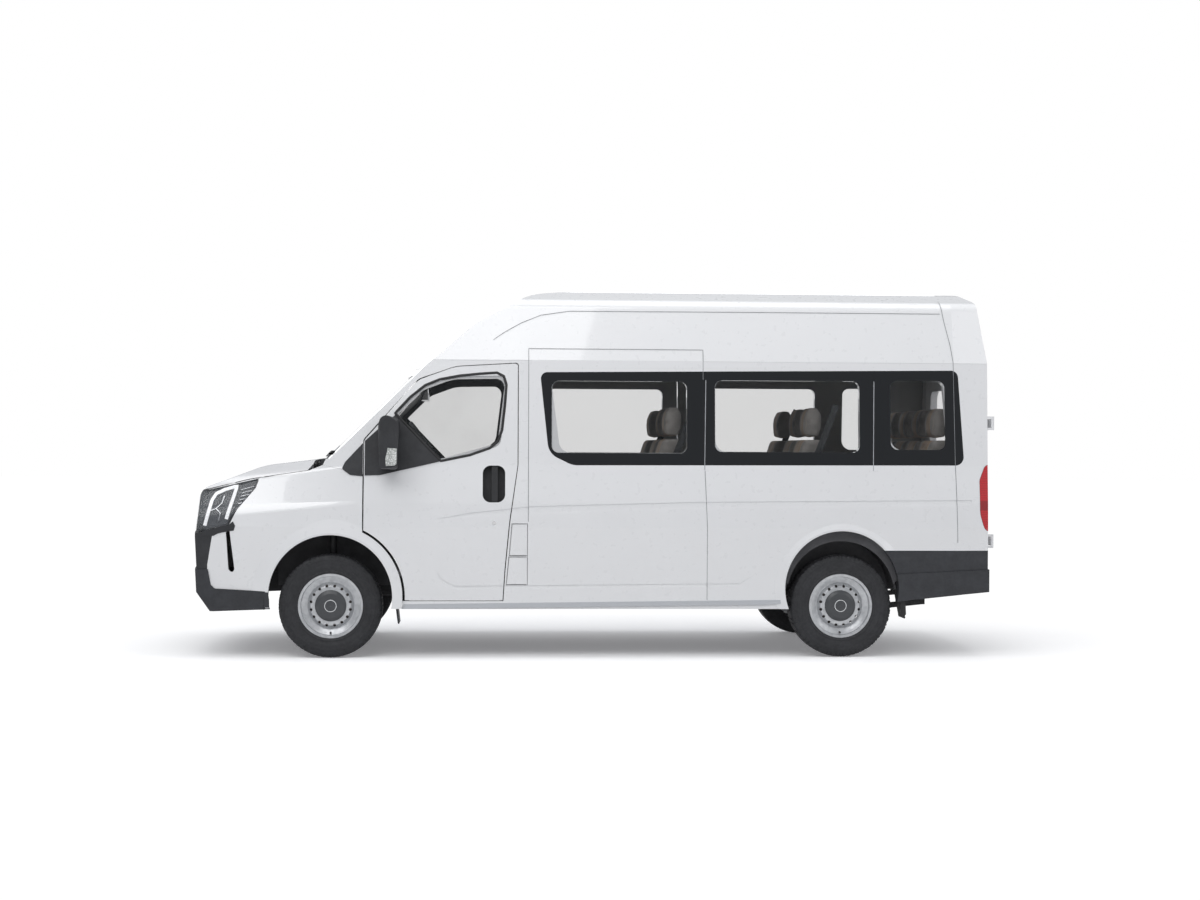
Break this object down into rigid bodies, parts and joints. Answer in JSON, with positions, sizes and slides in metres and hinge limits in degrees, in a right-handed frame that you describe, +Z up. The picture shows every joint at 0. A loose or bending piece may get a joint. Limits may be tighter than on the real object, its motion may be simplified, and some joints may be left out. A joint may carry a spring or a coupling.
{
  "type": "minibus",
  "caption": "High-roof minibus with hinged front and rear doors, sliding side door, bonnet, steering front wheels and rows of seats.",
  "frame": {"origin": "on the ground under the middle of the vehicle", "axes": "+Z up, nose towards -X, left side towards -Y"},
  "size_m": [5.6384, 2.356, 2.58],
  "materials": {
    "white_paint": "gloss",
    "glass": "gloss",
    "dark_plastic": "satin",
    "lamp": "gloss",
    "red_lamp": "gloss",
    "tyre": "matte",
    "wheel": "satin",
    "steel": "matte",
    "seat": "matte",
    "trim": "matte"
  },
  "bodies": {
    "body": {"bulkhead": "trim", "cab_seats": "seat", "chassis_rails": "steel", "cowl": "dark_plastic", "dashboard": "trim", "driveline": "steel", "engine": "steel", "exhaust": "steel", "floor_pan": "trim", "front_bumper": "dark_plastic", "front_row_seats": "seat", "front_suspension": "steel", "fuel_tank": "steel", "headlamps": "lamp", "high_roof": "white_paint", "leaf_springs": "steel", "left_side": "white_paint", "middle_row_seats": "seat", "mudflaps": "dark_plastic", "nose_panel": "dark_plastic", "radiator": "steel", "rear_axle": "steel", "rear_bumper": "dark_plastic", "rear_row_seats": "seat", "right_side": "white_paint", "seat_frames": "steel", "side_windows": "glass", "sills": "dark_plastic", "sliding_door": "white_paint", "sliding_door_glass": "glass", "struts": "steel", "tail_lamps": "red_lamp", "wheelhouses": "steel", "windscreen": "glass", "wings": "white_paint", "wipers": "dark_plastic"},
    "left_front_door": {"left_front_door": "white_paint", "left_door_glass": "glass", "left_mirror": "dark_plastic"},
    "left_rear_door": {"left_rear_door": "white_paint", "left_rear_glass": "glass"},
    "left_knuckle": {"left_knuckle": "steel"},
    "left_front_wheel": {"left_front_wheel": "wheel", "left_front_tyre": "tyre"},
    "left_rear_wheel": {"left_rear_wheel": "wheel", "left_rear_tyre": "tyre"},
    "right_front_door": {"right_front_door": "white_paint", "right_door_glass": "glass", "right_mirror": "dark_plastic"},
    "right_rear_door": {"right_rear_door": "white_paint", "right_rear_glass": "glass"},
    "right_knuckle": {"right_knuckle": "steel"},
    "right_front_wheel": {"right_front_wheel": "wheel", "right_front_tyre": "tyre"},
    "right_rear_wheel": {"right_rear_wheel": "wheel", "right_rear_tyre": "tyre"},
    "bonnet": {"bonnet": "white_paint"},
    "fuel_flap": {"fuel_flap": "white_paint"},
    "service_flap": {"service_flap": "white_paint"},
    "steering_wheel": {"steering_wheel": "trim"}
  },
  "joints": [
    {"name": "left_front_door_hinge", "type": "hinge", "parent": "body", "child": "left_front_door", "pos_m": [-1.572, -0.983, 0.7], "axis": [0, 0, -1], "range_deg": [0, 68]},
    {"name": "left_rear_door_hinge", "type": "hinge", "parent": "body", "child": "left_rear_door", "pos_m": [2.799, -0.9, 1.2], "axis": [0, 0, -1], "range_deg": [0, 170]},
    {"name": "left_steer", "type": "hinge", "parent": "body", "child": "left_knuckle", "pos_m": [-1.824, -0.7, 0.356], "axis": [0, 0, 1], "range_deg": [-35, 35]},
    {"name": "left_front_wheel_spin", "type": "hinge", "parent": "left_knuckle", "child": "left_front_wheel", "pos_m": [-1.824, -0.86, 0.356], "axis": [0, 1, 0], "continuous": true},
    {"name": "left_rear_wheel_spin", "type": "hinge", "parent": "body", "child": "left_rear_wheel", "pos_m": [1.716, -0.86, 0.356], "axis": [0, 1, 0], "continuous": true},
    {"name": "right_front_door_hinge", "type": "hinge", "parent": "body", "child": "right_front_door", "pos_m": [-1.572, 0.983, 0.7], "axis": [0, 0, 1], "range_deg": [0, 68]},
    {"name": "right_rear_door_hinge", "type": "hinge", "parent": "body", "child": "right_rear_door", "pos_m": [2.799, 0.9, 1.2], "axis": [0, 0, 1], "range_deg": [0, 170]},
    {"name": "right_steer", "type": "hinge", "parent": "body", "child": "right_knuckle", "pos_m": [-1.824, 0.7, 0.356], "axis": [0, 0, 1], "range_deg": [-35, 35]},
    {"name": "right_front_wheel_spin", "type": "hinge", "parent": "right_knuckle", "child": "right_front_wheel", "pos_m": [-1.824, 0.86, 0.356], "axis": [0, 1, 0], "continuous": true},
    {"name": "right_rear_wheel_spin", "type": "hinge", "parent": "body", "child": "right_rear_wheel", "pos_m": [1.716, 0.86, 0.356], "axis": [0, 1, 0], "continuous": true},
    {"name": "bonnet_hinge", "type": "hinge", "parent": "body", "child": "bonnet", "pos_m": [-1.964, 0, 1.345], "axis": [0, 1, 0], "range_deg": [0, 50]},
    {"name": "fuel_flap_hinge", "type": "hinge", "parent": "body", "child": "fuel_flap", "pos_m": [-0.478, -0.9905, 0.7], "axis": [0, 0, 1], "range_deg": [0, 100]},
    {"name": "service_flap_hinge", "type": "hinge", "parent": "body", "child": "service_flap", "pos_m": [-0.478, -0.9875, 0.7], "axis": [0, 0, 1], "range_deg": [0, 100]},
    {"name": "steering_wheel_spin", "type": "hinge", "parent": "body", "child": "steering_wheel", "pos_m": [-1.188, -0.4, 1.477], "axis": [0.7986, 0, 0.6018], "range_deg": [-525, 525]}
  ],
  "couplings": [
    {"joint": "right_steer", "follows": "left_steer", "ratio": 1},
    {"joint": "steering_wheel_spin", "follows": "left_steer", "ratio": 15}
  ]
}
